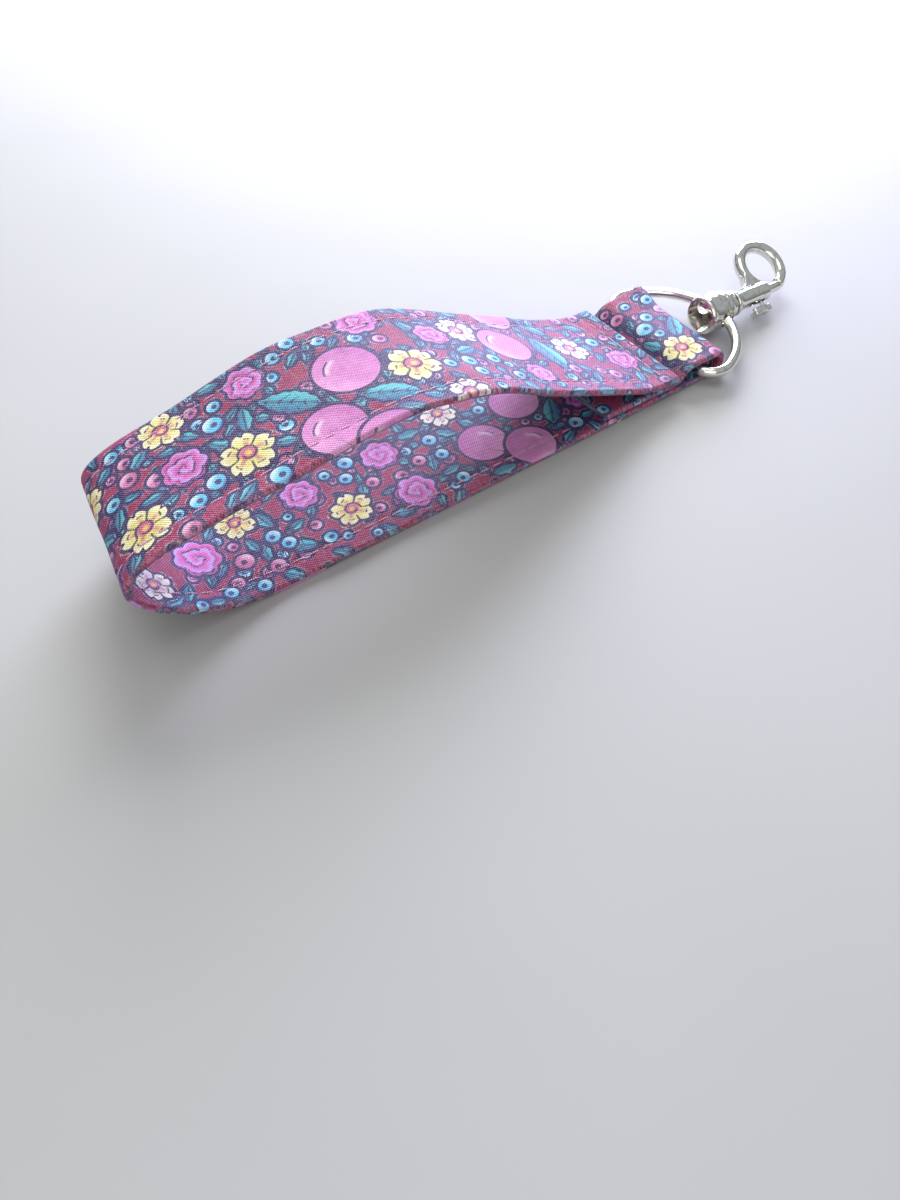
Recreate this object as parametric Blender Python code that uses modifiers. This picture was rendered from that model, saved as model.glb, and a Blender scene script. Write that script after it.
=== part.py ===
"""A wristlet keychain: a sewn cotton strap loop, a D-ring and a swivel bolt snap.

The strap lies along X with its lower layer flat on Z = 0, and its ring end points to +X.
Dimensions below are in millimetres. Vertices are made in metres.
"""
import math

import bmesh
import bpy
from mathutils import Matrix, Vector

MM = 0.001

# Strap: a flat tube of cotton round a stiff core
STRAP_EDGES = (-15.75, 15.75)
TAB_EDGES = (-15.0, 14.2)
STRAP_THICKNESS = 1.5
COVER_WALL = 0.4
CORE_THICKNESS = 0.4
CORE_INSET = 1.2
EDGE_CHAMFER = 0.35

# Side view of the strap's middle surface, from the hidden end of the tab, round the ring,
# back under the loop, up the wrist bend and forward again to the seam on top of the tab.
# Each point is (x, z, skew, roll). Skew moves a point along X, and roll lifts it, for each
# millimetre that it lies to the far side.
TAB_ROUTE = [
    (22.0, 2.55, 0.0, 0.0),
    (34.0, 2.55, 0.0, 0.0),
    (42.0, 2.55, 0.0, 0.0),
    (43.8, 3.30, 0.0, 0.0),
    (45.8, 4.90, 0.01, 0.0),
    (48.2, 5.45, 0.02, 0.0),
    (54.2, 5.45, 0.02, 0.0),
]
FOLD_CENTRE = (54.2, 3.10)
FOLD_RADIUS = 2.35
FOLD_SKEW = 0.02
LOOP_ROUTE = [
    (-40.0, 0.75, 0.05, 0.0),
    (-54.0, 0.95, 0.08, 0.0),
    (-64.0, 2.60, 0.10, 0.0),
    (-71.5, 7.00, 0.11, -0.01),
    (-76.2, 11.8, 0.12, -0.03),
    (-77.5, 15.2, 0.12, -0.06),
    (-75.6, 18.0, 0.11, -0.08),
    (-69.5, 20.4, 0.09, -0.09),
    (-58.0, 22.5, 0.05, -0.05),
    (-43.0, 25.2, 0.02, 0.0),
    (-28.0, 26.6, 0.0, 0.0),
    (-18.0, 26.0, 0.0, 0.0),
    (-9.0, 23.6, 0.0, 0.0),
    (1.0, 19.3, 0.0, 0.0),
    (12.0, 14.2, 0.0, 0.0),
    (22.0, 9.60, 0.0, 0.0),
    (30.0, 6.40, 0.0, 0.0),
    (36.0, 4.75, 0.0, 0.0),
    (42.0, 4.35, 0.0, 0.0),
]
STEPS_PER_SPAN = 3
FOLD_STEPS = 8

# Sewing thread, lying just clear of the cotton
THREAD_RADIUS = 0.2
THREAD_LIFT = 0.5
EDGE_SEAM_INSET = 4.0
OUTER_THREAD_SPAN = (-64.5, 33.0)
INNER_THREAD_END = 19.0
SEAM_ROWS = (("seam_thread_front", 36.0), ("seam_thread_back", 39.0))
SEAM_ROW_HALF = 13.0

# D-ring
RING_WIRE = 2.4
RING_DEPTH = 17.9
RING_RADIUS = 18.1
RING_CORNER = 4.4
RING_BAR = (49.6, -0.4, 3.1)
RING_TILT_DEG = 4.6

# Clasp, measured along its own axis from the middle of the swivel cup
CUP_MIDDLE = (66.8, -1.4, 4.5)
CLASP_PITCH_DEG = -2.5
HOOK_ROLL_DEG = 28.0
CUP_PROFILE = [
    (-4.3, 4.0),
    (-4.0, 4.3),
    (-3.5, 4.35),
    (-2.9, 4.15),
    (-1.6, 4.2),
    (-0.3, 4.4),
    (0.6, 4.4),
    (1.2, 4.0),
    (1.7, 3.75),
    (2.2, 3.9),
    (2.8, 3.9),
    (3.3, 3.45),
    (3.8, 3.3),
    (4.4, 3.3),
    (4.7, 3.1),
]
CUP_HOLLOW = [(-5.3, 3.6), (-1.0, 3.6), (1.2, 3.2), (2.9, 2.4), (3.15, 1.9)]
RING_HOLE_PLACE = 0.5
RING_HOLE_RADIUS = 2.1
WASHER_SPAN = (5.0, 5.4)
WASHER_RADIUS = 2.8
PIN_RADIUS = 0.7
PIN_HOLE_RADIUS = 1.0
PIN_HEAD_RADIUS = 1.3
PIN_NEAR_HEAD = (2.4, 2.85)
BARREL_START = 5.7
BARREL_PROFILE = [
    (0.0, 2.9),
    (0.35, 3.1),
    (0.8, 3.0),
    (1.3, 2.45),
    (2.2, 2.3),
    (11.3, 2.3),
    (11.9, 2.0),
]
BORE_RADIUS = 1.5
BORE_SPAN = (0.9, 15.1)
PIN_FAR_HEAD = (1.2, 1.7)
HOOK_MIDDLE = (14.5, 5.75)
HOOK_RADIUS = 5.75
HOOK_WIRE = 2.9
HOOK_TIP_DEG = -67.0
HOOK_ROOT_DEG = 232.0
WEB_OUTLINE = [
    (4.2, 1.2),
    (6.6, 3.1),
    (7.9, 5.6),
    (9.4, 5.6),
    (10.1, 3.0),
    (11.7, 1.5),
    (11.7, 0.3),
    (4.2, 0.3),
]
WEB_THICKNESS = 2.2
BOLT_RADIUS = 1.2
BOLT_SPAN = (7.7, 16.5)
BOLT_NOSE = (0.3, 0.25)
STUD_PLACE = 8.6
STALK_RADIUS = 0.5
STALK_HOLE_RADIUS = 0.8
STALK_SPAN = (0.55, 3.6)
SOCKET_SPAN = (0.25, 2.5)
SLOT_SPAN = (4.4, 9.6)
SLOT_DEPTH = (-4.0, -0.6)
SLOT_WIDTH = 1.7
PAD_SPAN = (4.4, 9.9)
PAD_DEPTH = (3.4, 5.3)
PAD_WIDTH = 2.4
PAD_ROUNDING = 0.45
SPRING_RADIUS = 0.95
SPRING_WIRE = 0.3
SPRING_SPAN = (2.15, 7.25)
SPRING_TURNS = 5
CUT_MARGIN = 1.0
RING_STEPS = 36
CORNER_STEPS = 8
COIL_STEPS = 12

COTTON = ("printed_cotton", (0.42, 0.14, 0.24), 0.85, 0.0)
CORE = ("interfacing", (0.85, 0.84, 0.80), 0.9, 0.0)
THREAD = ("sewing_thread", (0.83, 0.68, 0.74), 0.6, 0.0)
NICKEL = ("nickel_plate", (0.76, 0.77, 0.76), 0.22, 1.0)
SPRING_STEEL = ("spring_steel", (0.55, 0.56, 0.58), 0.3, 1.0)


def clear_scene():
    for thing in list(bpy.data.objects):
        bpy.data.objects.remove(thing, do_unlink=True)


def make_collection(name):
    collection = bpy.data.collections.new(name)
    bpy.context.scene.collection.children.link(collection)
    return collection


def make_material(node, look):
    name, colour, roughness, metallic = look
    material = bpy.data.materials.new(f"{name}.{node}")
    material.use_nodes = True
    shader = material.node_tree.nodes["Principled BSDF"]
    shader.inputs["Base Color"].default_value = (*colour, 1.0)
    shader.inputs["Roughness"].default_value = roughness
    shader.inputs["Metallic"].default_value = metallic
    return material


def finish_part(name, data, parent, look):
    """Put mesh or curve data in the parts collection as one named sub-part."""
    part = bpy.data.objects.new(name, data)
    PARTS.objects.link(part)
    part.parent = parent
    part.data.materials.append(make_material(name, look))
    return part


def make_empty(name, parent, matrix):
    empty = bpy.data.objects.new(name, None)
    PARTS.objects.link(empty)
    empty.parent = parent
    empty.matrix_local = matrix
    return empty


def mesh_from(bm, name, smooth_deg=40.0):
    bmesh.ops.recalc_face_normals(bm, faces=bm.faces)
    mesh = bpy.data.meshes.new(name)
    bm.to_mesh(mesh)
    bm.free()
    mesh.shade_smooth()
    mesh.set_sharp_from_angle(angle=math.radians(smooth_deg))
    return mesh


def curve_data(name, points, radius, cyclic=False, resolution=2):
    """A round wire through points given in millimetres."""
    curve = bpy.data.curves.new(name, "CURVE")
    curve.dimensions = "3D"
    curve.bevel_depth = radius * MM
    curve.bevel_resolution = resolution
    curve.use_fill_caps = not cyclic
    spline = curve.splines.new("POLY")
    spline.points.add(len(points) - 1)
    for place, point in zip(spline.points, points):
        place.co = (*(Vector(point) * MM), 1.0)
    spline.use_cyclic_u = cyclic
    return curve


def cylinder_mesh(name, start, end, radius, segments=24):
    """A solid cylinder along local X."""
    bm = bmesh.new()
    turn = Matrix.Rotation(math.radians(90.0), 4, "Y")
    place = Matrix.Translation(((start + end) / 2 * MM, 0.0, 0.0)) @ turn
    bmesh.ops.create_cone(bm, cap_ends=True, segments=segments, radius1=radius * MM,
                          radius2=radius * MM, depth=(end - start) * MM, matrix=place)
    return mesh_from(bm, name)


def turned_mesh(name, profile, segments=32):
    """A solid turned about local X, from (x, radius) points, closed by flat ends."""
    bm = bmesh.new()
    rings = []
    for x, radius in profile:
        ring = []
        for k in range(segments):
            angle = 2 * math.pi * k / segments
            place = Vector((x, radius * math.cos(angle), radius * math.sin(angle)))
            ring.append(bm.verts.new(place * MM))
        rings.append(ring)
    for low, high in zip(rings, rings[1:]):
        for k in range(segments):
            after = (k + 1) % segments
            bm.faces.new((low[k], low[after], high[after], high[k]))
    bm.faces.new(rings[0])
    bm.faces.new(rings[-1])
    return mesh_from(bm, name)


def box_mesh(name, low, high):
    bm = bmesh.new()
    bmesh.ops.create_cube(bm, size=1.0)
    for vertex in bm.verts:
        for axis in range(3):
            middle = (low[axis] + high[axis]) / 2
            vertex.co[axis] = (middle + vertex.co[axis] * (high[axis] - low[axis])) * MM
    return mesh_from(bm, name)


def make_tool(name, mesh, parent):
    """A helper solid for a Boolean, kept out of the parts."""
    tool = bpy.data.objects.new(name, mesh)
    CUTTERS.objects.link(tool)
    tool.parent = parent
    tool.hide_render = True
    tool.display_type = "WIRE"
    return tool


def combine(part, tool, operation):
    step = part.modifiers.new(f"{operation.lower()} {tool.name}", "BOOLEAN")
    step.operation = operation
    step.object = tool


def curve_to_mesh(name, curve):
    """Turn a capped wire into a welded mesh that Booleans accept."""
    holder = bpy.data.objects.new(name, curve)
    CUTTERS.objects.link(holder)
    bpy.context.view_layer.update()
    graph = bpy.context.evaluated_depsgraph_get()
    mesh = bpy.data.meshes.new_from_object(holder.evaluated_get(graph))
    bpy.data.objects.remove(holder, do_unlink=True)
    bm = bmesh.new()
    bm.from_mesh(mesh)
    bmesh.ops.remove_doubles(bm, verts=bm.verts, dist=0.00001)
    bm.to_mesh(mesh)
    bm.free()
    return mesh


def smooth_route(points, steps):
    """Points along a Catmull-Rom curve through the route's points."""
    first = [2 * a - b for a, b in zip(points[0], points[1])]
    last = [2 * a - b for a, b in zip(points[-1], points[-2])]
    chain = [Vector(first), *[Vector(p) for p in points], Vector(last)]
    route = []
    for k in range(1, len(chain) - 2):
        before, start, end, after = chain[k - 1:k + 3]
        for step in range(steps):
            t = step / steps
            bend = (2 * before - 5 * start + 4 * end - after) * t * t
            turn = (3 * start - before - 3 * end + after) * t * t * t
            route.append((2 * start + (end - before) * t + bend + turn) * 0.5)
    route.append(Vector(points[-1]))
    return route


def strap_stations():
    """The strap's cross-sections: middle point, skew, roll, outward normal and both edges."""
    route = smooth_route(TAB_ROUTE, STEPS_PER_SPAN)
    for step in range(1, FOLD_STEPS + 1):
        angle = math.pi / 2 - math.pi * step / FOLD_STEPS
        x = FOLD_CENTRE[0] + FOLD_RADIUS * math.cos(angle)
        z = FOLD_CENTRE[1] + FOLD_RADIUS * math.sin(angle)
        route.append(Vector((x, z, FOLD_SKEW, 0.0)))
    straight_end = len(route)
    route.extend(smooth_route(LOOP_ROUTE, STEPS_PER_SPAN))
    stations = []
    for k, (x, z, skew, roll) in enumerate(route):
        ahead = route[min(k + 1, len(route) - 1)]
        behind = route[max(k - 1, 0)]
        along = Vector((ahead[0] - behind[0], ahead[1] - behind[1])).normalized()
        edges = TAB_EDGES if k < straight_end else STRAP_EDGES
        stations.append((x, z, skew, roll, -along.y, along.x, edges))
    return stations


def on_strap(station, across, outward):
    """A point of the strap, in millimetres from its middle line."""
    x, z, skew, roll, normal_x, normal_z, _ = station
    moved_x = x + skew * across + outward * normal_x
    moved_z = z + roll * across + outward * normal_z
    return Vector((moved_x, across, moved_z))


def strap_cover_mesh(stations):
    """The cotton tube as an open surface. Solidify gives it its wall."""
    half_thick = STRAP_THICKNESS / 2
    bm = bmesh.new()
    rings = []
    for station in stations:
        near, far = station[-1]
        low = half_thick - EDGE_CHAMFER
        far_in = far - EDGE_CHAMFER
        near_in = near + EDGE_CHAMFER
        outline = [(far_in, half_thick), (far, low), (far, -low), (far_in, -half_thick)]
        outline += [(near_in, -half_thick), (near, -low), (near, low), (near_in, half_thick)]
        rings.append([bm.verts.new(on_strap(station, a, o) * MM) for a, o in outline])
    for ring, following in zip(rings, rings[1:]):
        for k in range(len(ring)):
            after = (k + 1) % len(ring)
            bm.faces.new((ring[k], following[k], following[after], ring[after]))
    mesh = bpy.data.meshes.new("strap_cover")
    bm.to_mesh(mesh)
    bm.free()
    return mesh


def strap_core_mesh(stations):
    """The stiff core's middle surface. Solidify gives it its thickness."""
    bm = bmesh.new()
    rows = []
    for station in stations:
        near, far = station[-1]
        sides = (far - CORE_INSET, near + CORE_INSET)
        rows.append([bm.verts.new(on_strap(station, across, 0.0) * MM) for across in sides])
    for row, following in zip(rows, rows[1:]):
        bm.faces.new((row[0], following[0], following[1], row[1]))
    mesh = bpy.data.meshes.new("strap_interfacing")
    bm.to_mesh(mesh)
    bm.free()
    return mesh


def build_strap():
    strap = make_empty("strap_root", None, Matrix.Identity(4))
    stations = strap_stations()
    cover = finish_part("strap_cover", strap_cover_mesh(stations), strap, COTTON)
    wall = cover.modifiers.new("wall", "SOLIDIFY")
    wall.thickness = COVER_WALL * MM
    wall.offset = -1.0
    core = finish_part("strap_interfacing", strap_core_mesh(stations), strap, CORE)
    sheet = core.modifiers.new("sheet", "SOLIDIFY")
    sheet.thickness = CORE_THICKNESS * MM
    sheet.offset = 0.0
    build_threads(strap, stations)


def build_threads(strap, stations):
    first_loop = len(stations) - (len(LOOP_ROUTE) - 1) * STEPS_PER_SPAN - 1
    loop = stations[first_loop:]
    lift = STRAP_THICKNESS / 2 + THREAD_LIFT
    low, high = OUTER_THREAD_SPAN
    bend_start = next(k for k, s in enumerate(loop) if s[0] < low)
    outer = [s for s in loop[bend_start:] if s[0] < high]
    inner = [s for s in loop if s[0] < INNER_THREAD_END]
    straight = (INNER_THREAD_END, STRAP_THICKNESS / 2, 0.0, 0.0, 0.0, -1.0, STRAP_EDGES)
    inner.insert(0, straight)
    across = STRAP_EDGES[1] - EDGE_SEAM_INSET
    for side_name, side in (("near", -1), ("far", 1)):
        needle = [on_strap(s, side * across, lift) for s in outer]
        bobbin = [on_strap(s, side * across, -lift) for s in inner]
        for thread_name, points in (("needle", needle), ("bobbin", bobbin)):
            name = f"{side_name}_edge_{thread_name}_thread"
            finish_part(name, curve_data(name, points, THREAD_RADIUS, resolution=1), strap, THREAD)
    for name, place in SEAM_ROWS:
        station = min(loop[-8:], key=lambda s: abs(s[0] - place))
        points = [on_strap(station, side * SEAM_ROW_HALF, lift) for side in (-1, 1)]
        finish_part(name, curve_data(name, points, THREAD_RADIUS, resolution=1), strap, THREAD)


def d_ring_points():
    """The ring's middle line: a straight bar, two tight corners and one round arc."""
    arc_x = RING_DEPTH - RING_RADIUS
    corner_y = math.sqrt((RING_RADIUS - RING_CORNER) ** 2 - (RING_CORNER - arc_x) ** 2)
    turn = math.atan2(corner_y, RING_CORNER - arc_x)
    points = []
    for k in range(RING_STEPS + 1):
        angle = -turn + 2 * turn * k / RING_STEPS
        points.append((arc_x + RING_RADIUS * math.cos(angle), RING_RADIUS * math.sin(angle), 0.0))
    for side in (1, -1):
        corner = []
        for k in range(1, CORNER_STEPS + 1):
            angle = turn + (math.pi - turn) * k / CORNER_STEPS
            x = RING_CORNER + RING_CORNER * math.cos(angle)
            corner.append((x, side * (corner_y + RING_CORNER * math.sin(angle)), 0.0))
        points.extend(corner if side > 0 else reversed(corner))
    return points


def build_ring():
    tilt = Matrix.Rotation(-math.radians(RING_TILT_DEG), 4, "Y")
    pivot = make_empty("ring_pivot", None, Matrix.Translation(Vector(RING_BAR) * MM) @ tilt)
    wire = curve_data("d_ring", d_ring_points(), RING_WIRE / 2, cyclic=True, resolution=3)
    finish_part("d_ring", wire, pivot, NICKEL)


def build_cup(clasp_axis):
    """The swivel's hollow cup, which the ring passes through, with its washer and rivet."""
    cup = finish_part("swivel_cup", turned_mesh("swivel_cup", CUP_PROFILE), clasp_axis, NICKEL)
    hollow = make_tool("cup_hollow", turned_mesh("cup_hollow", CUP_HOLLOW), clasp_axis)
    combine(cup, hollow, "DIFFERENCE")
    turn = Matrix.Rotation(math.radians(90.0), 4, "Z")
    place = Matrix.Translation((RING_HOLE_PLACE * MM, 0.0, 0.0)) @ turn
    ring_hole_frame = make_empty("ring_hole_frame", clasp_axis, place)
    reach = CUP_PROFILE[5][1] + CUT_MARGIN
    ring_hole = cylinder_mesh("ring_hole", -reach, reach, RING_HOLE_RADIUS)
    combine(cup, make_tool("ring_hole", ring_hole, ring_hole_frame), "DIFFERENCE")
    pin_start = CUP_HOLLOW[-1][0] - CUT_MARGIN
    pin_hole = cylinder_mesh("cup_pin_hole", pin_start, CUP_PROFILE[-1][0] + CUT_MARGIN, PIN_HOLE_RADIUS)
    combine(cup, make_tool("cup_pin_hole", pin_hole, clasp_axis), "DIFFERENCE")
    washer_mesh = cylinder_mesh("swivel_washer", *WASHER_SPAN, WASHER_RADIUS, segments=32)
    washer = finish_part("swivel_washer", washer_mesh, clasp_axis, NICKEL)
    washer_ends = (WASHER_SPAN[0] - CUT_MARGIN, WASHER_SPAN[1] + CUT_MARGIN)
    opening = cylinder_mesh("washer_hole", *washer_ends, PIN_HOLE_RADIUS)
    combine(washer, make_tool("washer_hole", opening, clasp_axis), "DIFFERENCE")
    near_start, near_end = PIN_NEAR_HEAD
    far_start, far_end = [BARREL_START + x for x in PIN_FAR_HEAD]
    profile = [
        (near_start, PIN_HEAD_RADIUS),
        (near_end, PIN_HEAD_RADIUS),
        (near_end, PIN_RADIUS),
        (far_start, PIN_RADIUS),
        (far_start, PIN_HEAD_RADIUS),
        (far_end, PIN_HEAD_RADIUS),
    ]
    rivet_mesh = turned_mesh("swivel_rivet", profile, segments=20)
    finish_part("swivel_rivet", rivet_mesh, clasp_axis, NICKEL)


def hook_wire_mesh():
    middle_x, middle_y = HOOK_MIDDLE
    points = []
    for k in range(RING_STEPS + 1):
        angle = math.radians(HOOK_TIP_DEG + (HOOK_ROOT_DEG - HOOK_TIP_DEG) * k / RING_STEPS)
        x = middle_x + HOOK_RADIUS * math.cos(angle)
        y = middle_y + HOOK_RADIUS * math.sin(angle)
        points.append((x, y, 0.0))
    return curve_to_mesh("hook_wire", curve_data("hook_wire", points, HOOK_WIRE / 2, resolution=3))


def web_mesh():
    bm = bmesh.new()
    low = -WEB_THICKNESS / 2
    floor = bm.faces.new([bm.verts.new(Vector((x, y, low)) * MM) for x, y in WEB_OUTLINE])
    grown = bmesh.ops.extrude_face_region(bm, geom=[floor])
    lifted = [item for item in grown["geom"] if isinstance(item, bmesh.types.BMVert)]
    bmesh.ops.translate(bm, verts=lifted, vec=(0.0, 0.0, WEB_THICKNESS * MM))
    return mesh_from(bm, "hook_web")


def build_hook(hook_frame):
    body = finish_part("hook_body", turned_mesh("hook_body", BARREL_PROFILE), hook_frame, NICKEL)
    combine(body, make_tool("hook_wire", hook_wire_mesh(), hook_frame), "UNION")
    combine(body, make_tool("hook_web", web_mesh(), hook_frame), "UNION")
    bore = cylinder_mesh("barrel_bore", *BORE_SPAN, BORE_RADIUS)
    combine(body, make_tool("barrel_bore", bore, hook_frame), "DIFFERENCE")
    hole = cylinder_mesh("rivet_hole", -CUT_MARGIN, BORE_SPAN[0] + CUT_MARGIN, PIN_HOLE_RADIUS)
    combine(body, make_tool("rivet_hole", hole, hook_frame), "DIFFERENCE")
    slot_low = (SLOT_SPAN[0], SLOT_DEPTH[0], -SLOT_WIDTH / 2)
    slot_high = (SLOT_SPAN[1], SLOT_DEPTH[1], SLOT_WIDTH / 2)
    slot = make_tool("stud_slot", box_mesh("stud_slot", slot_low, slot_high), hook_frame)
    combine(body, slot, "DIFFERENCE")


def build_bolt(hook_frame):
    start, end = BOLT_SPAN
    nose_length, nose_taper = BOLT_NOSE
    profile = [
        (start, BOLT_RADIUS),
        (end - nose_length, BOLT_RADIUS),
        (end, BOLT_RADIUS - nose_taper),
    ]
    bolt = finish_part("slide_bolt", turned_mesh("slide_bolt", profile), hook_frame, NICKEL)
    turn = Matrix.Rotation(math.radians(-90.0), 4, "Z")
    place = Matrix.Translation((STUD_PLACE * MM, 0.0, 0.0)) @ turn
    stud_frame = make_empty("stud_frame", hook_frame, place)
    socket = cylinder_mesh("stud_socket", *SOCKET_SPAN, STALK_HOLE_RADIUS)
    combine(bolt, make_tool("stud_socket", socket, stud_frame), "DIFFERENCE")
    stalk_mesh = cylinder_mesh("thumb_stud", *STALK_SPAN, STALK_RADIUS)
    stud = finish_part("thumb_stud", stalk_mesh, stud_frame, NICKEL)
    pad_low = (PAD_DEPTH[0], PAD_SPAN[0] - STUD_PLACE, -PAD_WIDTH / 2)
    pad_high = (PAD_DEPTH[1], PAD_SPAN[1] - STUD_PLACE, PAD_WIDTH / 2)
    pad = make_tool("thumb_pad", box_mesh("thumb_pad", pad_low, pad_high), stud_frame)
    rounding = pad.modifiers.new("rounding", "BEVEL")
    rounding.width = PAD_ROUNDING * MM
    rounding.segments = 2
    combine(stud, pad, "UNION")


def build_spring(hook_frame):
    points = []
    start, end = SPRING_SPAN
    count = SPRING_TURNS * COIL_STEPS
    for k in range(count + 1):
        angle = 2 * math.pi * k / COIL_STEPS
        x = start + (end - start) * k / count
        points.append((x, SPRING_RADIUS * math.cos(angle), SPRING_RADIUS * math.sin(angle)))
    coil = curve_data("bolt_spring", points, SPRING_WIRE / 2, resolution=1)
    finish_part("bolt_spring", coil, hook_frame, SPRING_STEEL)


def build_clasp():
    pitch = Matrix.Rotation(-math.radians(CLASP_PITCH_DEG), 4, "Y")
    middle = Matrix.Translation(Vector(CUP_MIDDLE) * MM)
    clasp_axis = make_empty("clasp_axis", None, middle @ pitch)
    build_cup(clasp_axis)
    shift = Matrix.Translation((BARREL_START * MM, 0.0, 0.0))
    roll = Matrix.Rotation(math.radians(HOOK_ROLL_DEG), 4, "X")
    hook_frame = make_empty("hook_frame", clasp_axis, shift @ roll)
    build_hook(hook_frame)
    build_bolt(hook_frame)
    build_spring(hook_frame)


clear_scene()
PARTS = make_collection("wristlet_keychain")
CUTTERS = make_collection("cutters")
build_strap()
build_ring()
build_clasp()
bpy.context.view_layer.update()
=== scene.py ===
"""Looks of a wristlet keychain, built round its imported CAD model.

Strap and clasp sizes are in millimetres, and repeat those of the CAD. A place on the strap is
(s, t): s runs along it from the hidden end of the tab, and t runs across it.
"""
import math

import bmesh
import bpy
import numpy as np
from mathutils import Matrix, Vector


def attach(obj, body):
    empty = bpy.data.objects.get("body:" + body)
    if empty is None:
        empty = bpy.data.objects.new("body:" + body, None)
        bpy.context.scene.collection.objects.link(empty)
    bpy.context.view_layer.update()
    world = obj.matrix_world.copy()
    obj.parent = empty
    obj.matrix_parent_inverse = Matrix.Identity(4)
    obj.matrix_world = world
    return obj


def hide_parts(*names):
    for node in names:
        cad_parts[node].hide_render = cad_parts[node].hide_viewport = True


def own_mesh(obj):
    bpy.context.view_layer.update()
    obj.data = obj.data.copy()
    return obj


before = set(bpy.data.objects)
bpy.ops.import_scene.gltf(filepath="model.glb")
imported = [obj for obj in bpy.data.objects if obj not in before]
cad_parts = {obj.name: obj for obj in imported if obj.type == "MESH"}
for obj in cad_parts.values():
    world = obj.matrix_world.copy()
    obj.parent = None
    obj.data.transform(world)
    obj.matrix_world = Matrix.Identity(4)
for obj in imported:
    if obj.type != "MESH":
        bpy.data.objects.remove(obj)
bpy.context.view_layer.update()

MM = 0.001

PHOTO_HEIGHT = 1200
FOCAL_IN_PIXELS = 901
SENSOR_MM = 36.0
CAMERA_PLACE = (-0.090, -0.118, 0.1246)
CAMERA_PITCH_DEG = 39.3
CAMERA_TURN_DEG = -35.0

# Name, place and size in metres, power in watts, colour
LIGHTS = [
    ("window", (0.34, 0.56, 0.36), 0.45, 8.5, (0.92, 0.94, 1.0)),
    ("low_window", (0.64, 0.46, 0.15), 0.3, 9.0, (0.58, 0.60, 1.0)),
    ("overhead", (-0.1, 0.1, 0.9), 0.6, 2.0, (1.0, 0.97, 0.94)),
    ("fill", (-0.4, -0.5, 0.4), 0.6, 1.4, (1.0, 0.96, 0.92)),
]

# Strap
STRAP_EDGES = (-15.75, 15.75)
TAB_EDGES = (-15.0, 14.2)
HALF_THICK = 0.75
TAB_ROUTE = [
    (22.0, 2.55, 0.0, 0.0),
    (34.0, 2.55, 0.0, 0.0),
    (42.0, 2.55, 0.0, 0.0),
    (43.8, 3.30, 0.0, 0.0),
    (45.8, 4.90, 0.01, 0.0),
    (48.2, 5.45, 0.02, 0.0),
    (54.2, 5.45, 0.02, 0.0),
]
FOLD_CENTRE = (54.2, 3.10)
FOLD_RADIUS = 2.35
FOLD_SKEW = 0.02
LOOP_ROUTE = [
    (-40.0, 0.75, 0.05, 0.0),
    (-54.0, 0.95, 0.08, 0.0),
    (-64.0, 2.60, 0.10, 0.0),
    (-71.5, 7.00, 0.11, -0.01),
    (-76.2, 11.8, 0.12, -0.03),
    (-77.5, 15.2, 0.12, -0.06),
    (-75.6, 18.0, 0.11, -0.08),
    (-69.5, 20.4, 0.09, -0.09),
    (-58.0, 22.5, 0.05, -0.05),
    (-43.0, 25.2, 0.02, 0.0),
    (-28.0, 26.6, 0.0, 0.0),
    (-18.0, 26.0, 0.0, 0.0),
    (-9.0, 23.6, 0.0, 0.0),
    (1.0, 19.3, 0.0, 0.0),
    (12.0, 14.2, 0.0, 0.0),
    (22.0, 9.60, 0.0, 0.0),
    (30.0, 6.40, 0.0, 0.0),
    (36.0, 4.75, 0.0, 0.0),
    (42.0, 4.35, 0.0, 0.0),
]
ROUTE_STEPS = 20
CLOTH_STEP = 0.36
EDGE_ROUNDING = 0.75
STRAP_LENGTH = 304.4
# The fold's far corner stands up over the ring: where, over what length, and how far along X and Z
FOLD_AT = 35.0
FOLD_REACH = 5.0
LIFTED_CORNER = (1.2, 1.0)

# Stitching
STITCH_PITCH = 3.0
STITCH_GAP = 0.45
STITCH_RADIUS = 0.17
STITCH_INSET = 4.0
SEAM_DEPTH = 0.2
SEAM_WIDTH = 0.75
SEAM_ROWS = (
    ("front_seam_stitches", "seam_thread_front", 36.0),
    ("back_seam_stitches", "seam_thread_back", 39.0),
)
SEAM_ROW_HALF = 13.0
LOOP_SEAM_X = (19.0, 33.0)

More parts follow.
